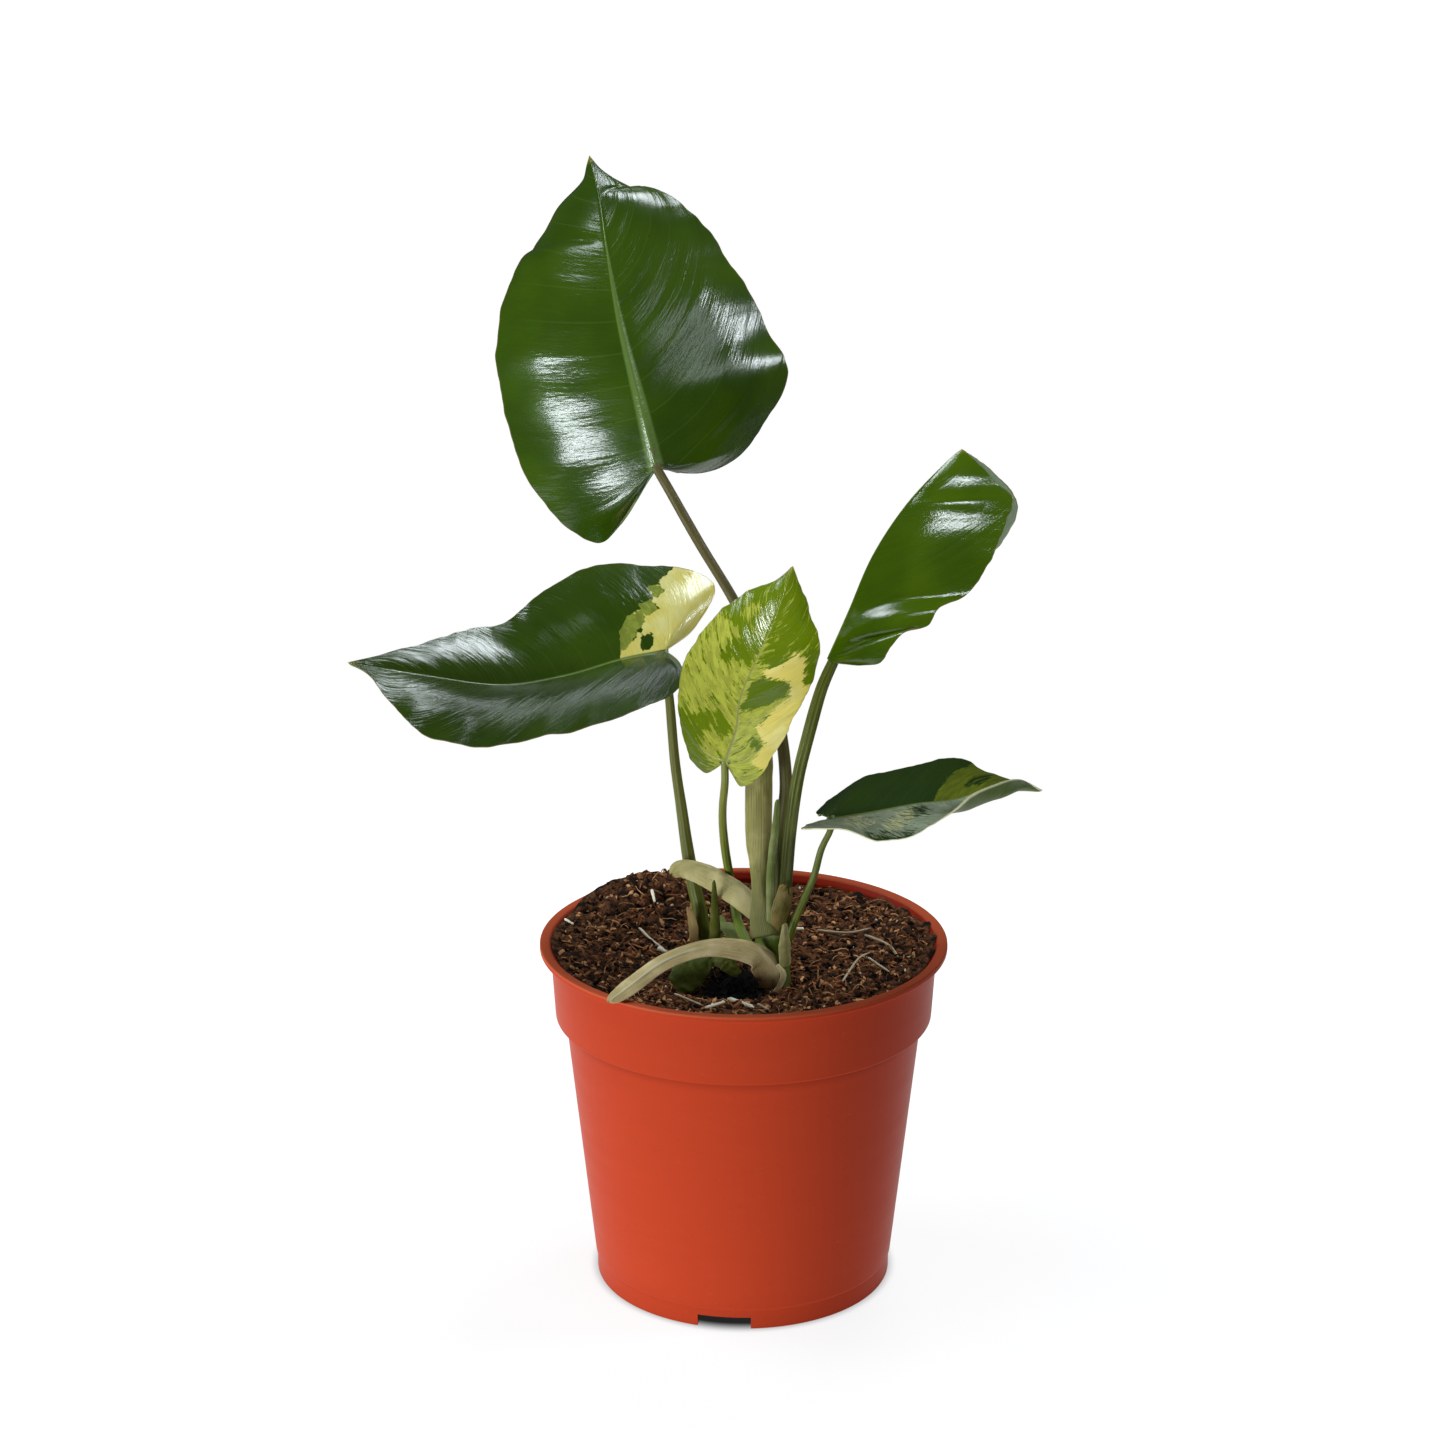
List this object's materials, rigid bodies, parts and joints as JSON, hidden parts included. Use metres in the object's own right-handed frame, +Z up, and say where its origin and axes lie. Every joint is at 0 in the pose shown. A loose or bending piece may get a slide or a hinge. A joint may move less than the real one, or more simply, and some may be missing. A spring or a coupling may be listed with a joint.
{
  "type": "potted variegated philodendron",
  "caption": "Houseplant with glossy arrow-shaped variegated leaves on thin stalks, in a round tapered nursery pot filled with soil.",
  "frame": {"origin": "middle of the whole plant's footprint box, on the surface the pot stands on", "axes": "+Z up along the pot's axis, +Y away from the pictured front, +X to the right as seen from the front; the pot's own axis is at X = 0.0136 m, Y = 0"},
  "size_m": [0.1986, 0.12, 0.3278],
  "materials": {
    "pot": "satin",
    "soil": "matte",
    "stem": "satin",
    "leaf_green": "gloss",
    "leaf_variegated": "gloss",
    "leaf_lime": "gloss",
    "stalk": "satin",
    "sheath": "matte",
    "scale": "matte"
  },
  "bodies": {
    "root": {"pot": "pot", "soil": "soil", "stem_main": "stem", "stem_side": "stem", "leaf_top": "leaf_green", "leaf_left": "leaf_variegated", "leaf_centre": "leaf_lime", "leaf_right": "leaf_green", "leaf_low": "leaf_variegated", "leaf_small": "leaf_green", "stalk_top": "stalk", "stalk_left": "stalk", "stalk_centre": "stalk", "stalk_right": "stalk", "stalk_low": "stalk", "sheath_upright": "sheath", "sheath_pointed": "sheath", "sheath_cup": "sheath", "sheath_edge": "sheath", "sheath_arched_upper": "sheath", "sheath_arched_lower": "sheath", "sheath_spike": "sheath", "sheath_small": "sheath", "scale_dry": "scale"}
  },
  "joints": []
}
